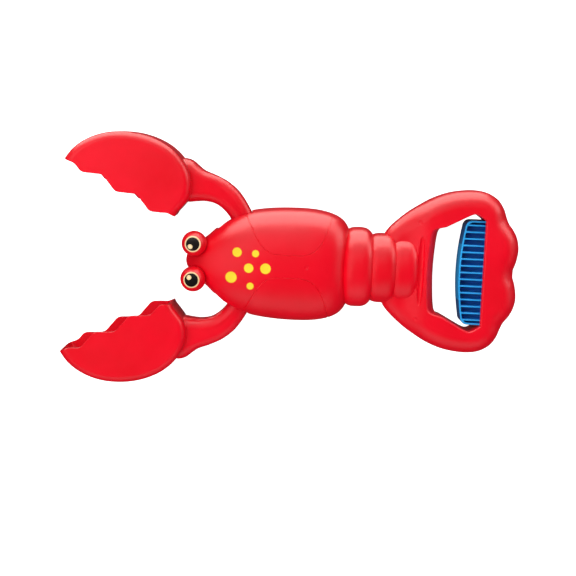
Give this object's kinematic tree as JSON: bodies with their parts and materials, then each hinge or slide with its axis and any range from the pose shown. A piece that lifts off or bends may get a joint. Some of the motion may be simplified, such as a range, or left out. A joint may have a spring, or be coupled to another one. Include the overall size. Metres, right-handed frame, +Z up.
{
  "type": "toy claw grabber",
  "caption": "Lobster-shaped hand grabber for sand play: squeezing a ribbed trigger in the looped tail handle shuts two hollow, toothed claws.",
  "frame": {"origin": "middle of the belly's flat face, on the surface that the toy lies on", "axes": "+X from the nose to the tail handle, +Y to the lobster's left claw, +Z up out of its back"},
  "size_m": [0.3243, 0.1782, 0.0502],
  "materials": {
    "shell": "satin moulded red plastic",
    "claws": "satin moulded red plastic",
    "eyes": "red ball with a printed cream and black eye",
    "trigger": "satin moulded blue plastic",
    "pull_bar": "natural moulded plastic",
    "spring": "drawn spring wire",
    "screws": "zinc-plated self-tapping screws"
  },
  "bodies": {
    "shell": {"shell_top": "shell", "shell_bottom": "shell", "eye_left": "eyes", "eye_right": "eyes", "head_screw": "screws", "body_screw": "screws", "loop_screw_left": "screws", "loop_screw_right": "screws", "fan_screw_left": "screws", "fan_screw_right": "screws", "pivot_screw_left": "screws", "pivot_screw_right": "screws", "return_spring": "spring"},
    "trigger_slide_body": {"trigger": "trigger", "pull_bar": "pull_bar"},
    "left_claw": {"claw_left": "claws"},
    "right_claw": {"claw_right": "claws"}
  },
  "joints": [
    {"name": "trigger_squeeze", "type": "slide", "parent": "shell", "child": "trigger_slide_body", "axis": [1, 0, 0], "range_m": [0, 0.00758], "stiffness_N_per_m": 300, "springref_m": -0.012, "deforming": ["return_spring"]},
    {"name": "left_claw_pivot", "type": "hinge", "parent": "shell", "child": "left_claw", "pos_m": [-0.027, 0.0155, 0.023], "axis": [0, 0, 1], "range_deg": [0, 27.5]},
    {"name": "right_claw_pivot", "type": "hinge", "parent": "shell", "child": "right_claw", "pos_m": [-0.027, -0.0155, 0.023], "axis": [0, 0, -1], "range_deg": [0, 27.5]}
  ],
  "couplings": [
    {"joint": "left_claw_pivot", "follows": "trigger_squeeze", "rad_per_m": 63.27},
    {"joint": "right_claw_pivot", "follows": "trigger_squeeze", "rad_per_m": 63.27}
  ]
}
